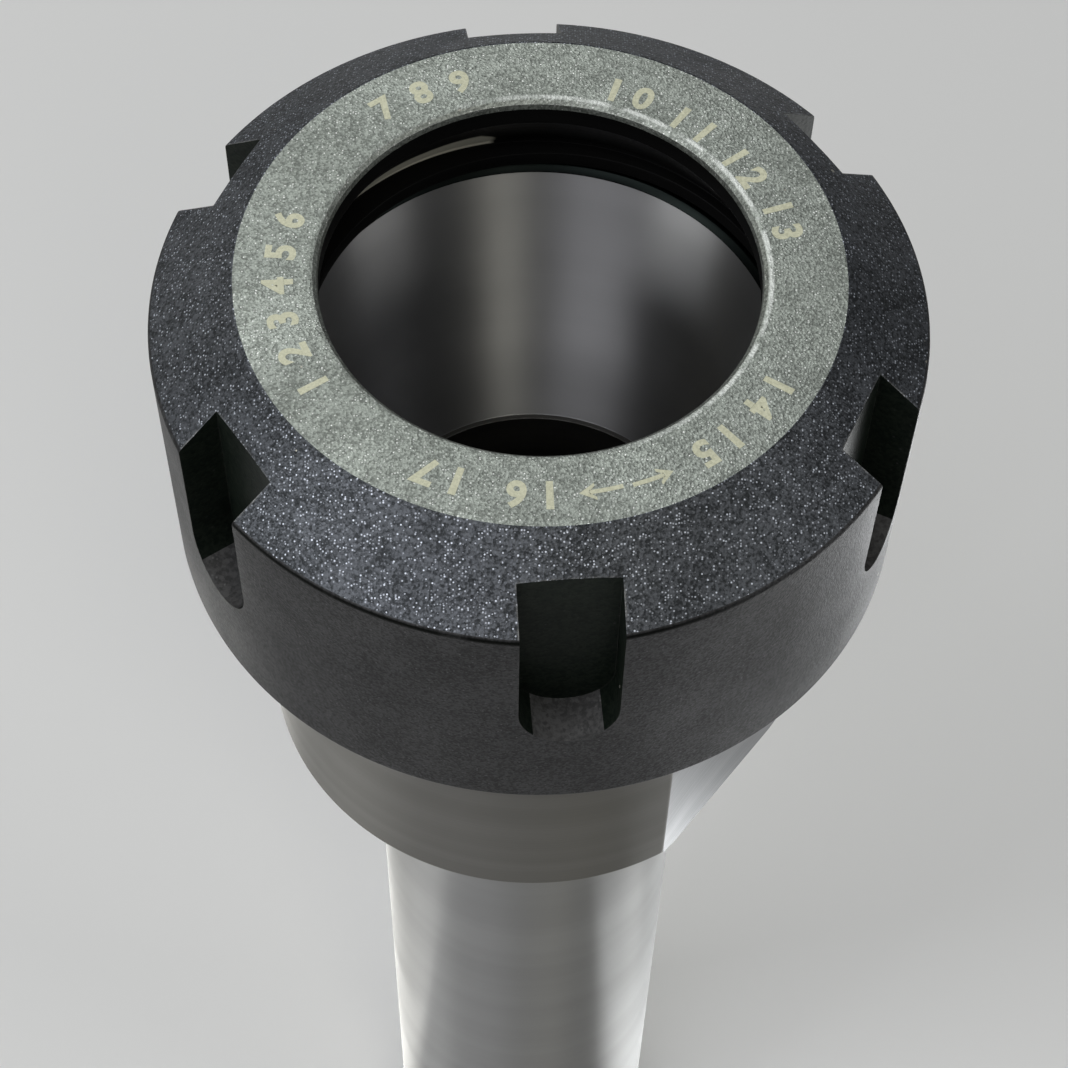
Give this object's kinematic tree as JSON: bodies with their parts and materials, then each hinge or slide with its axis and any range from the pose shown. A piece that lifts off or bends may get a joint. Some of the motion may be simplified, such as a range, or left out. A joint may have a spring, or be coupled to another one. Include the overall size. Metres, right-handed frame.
{
  "type": "collet chuck holder",
  "caption": "Straight-shank collet chuck holder with a slotted clamping nut that turns off a threaded nose over a ground collet socket, with a length-stop screw in the shank.",
  "frame": {"origin": "centre of the shank's end face, on which the holder stands", "axes": "+Z along the turning axis from the shank's end to the nut's face; X and Y across it, with the pictured side towards -Y"},
  "size_m": [0.05, 0.05, 0.1478],
  "materials": {
    "ground_steel": "ground and satin turned, bare",
    "black_oxide_steel": "fine blasted, black oxide, lighter worn face ring",
    "screw_steel": "black oxide"
  },
  "bodies": {
    "holder": {"holder_body": "ground_steel"},
    "nut": {"clamping_nut": "black_oxide_steel"},
    "stop": {"stop_screw": "screw_steel"}
  },
  "joints": [
    {"name": "nut_turn", "type": "hinge", "parent": "holder", "child": "nut", "pos_m": [0, 0, 0.1306], "axis": [0, 0, 1], "range_deg": [0, 3140]},
    {"name": "stop_slide", "type": "slide", "parent": "holder", "child": "stop", "axis": [0, 0, 1], "range_m": [-0.0138, 0.0178]}
  ]
}
